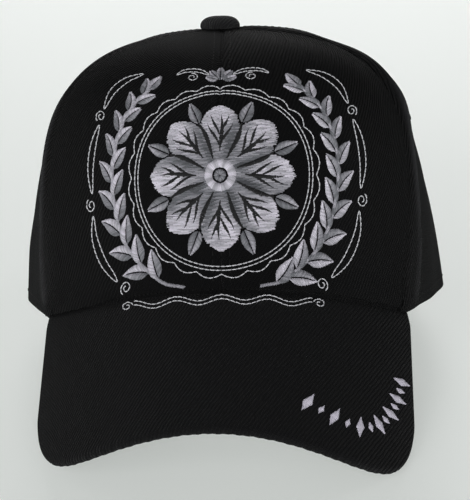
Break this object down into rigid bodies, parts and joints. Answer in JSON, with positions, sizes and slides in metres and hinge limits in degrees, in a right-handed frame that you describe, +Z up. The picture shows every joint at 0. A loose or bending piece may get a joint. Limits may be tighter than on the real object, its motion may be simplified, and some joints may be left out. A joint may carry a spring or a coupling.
{
  "type": "baseball cap",
  "caption": "Structured six-panel cap with a curved visor, a covered top button, a sweatband and a rear opening closed by a hook-and-loop strap.",
  "frame": {"origin": "middle of the underside of the box round the cap, on the surface it stands on", "axes": "+Z up, visor towards -Y, the wearer's left towards +X; the crown is tipped back as the cap stands on its visor corners and on the strap"},
  "size_m": [0.176, 0.2642, 0.1346],
  "materials": {
    "twill": "black cotton twill, matt with a faint sheen along the ribs",
    "buckram": "stiff black woven backing",
    "cotton_band": "plain black cotton",
    "seam_tape": "black woven binding tape",
    "black_thread": "black embroidery thread, satin",
    "visor_board": "stiff moulded sheet, hidden inside the visor",
    "washer_metal": "black lacquered steel",
    "hook_and_loop": "black hook-and-loop pile"
  },
  "bodies": {
    "root": {"front_panel_left": "twill", "front_panel_right": "twill", "side_panel_left": "twill", "side_panel_right": "twill", "back_panel_left": "twill", "back_panel_right": "twill", "front_backing_left": "buckram", "front_backing_right": "buckram", "crown_button": "twill", "button_washer": "washer_metal", "eyelet_side_left": "black_thread", "eyelet_side_right": "black_thread", "eyelet_back_left": "black_thread", "eyelet_back_right": "black_thread", "visor_top_cloth": "twill", "visor_board": "visor_board", "visor_under_cloth": "twill", "sweatband": "cotton_band", "tape_front": "seam_tape", "tape_rear": "seam_tape", "tape_front_left": "seam_tape", "tape_front_right": "seam_tape", "tape_side_left": "seam_tape", "tape_side_right": "seam_tape", "opening_binding": "seam_tape", "strap_outer": "twill", "strap_inner": "twill", "strap_loop_patch": "hook_and_loop", "strap_hook_patch": "hook_and_loop"}
  },
  "joints": []
}
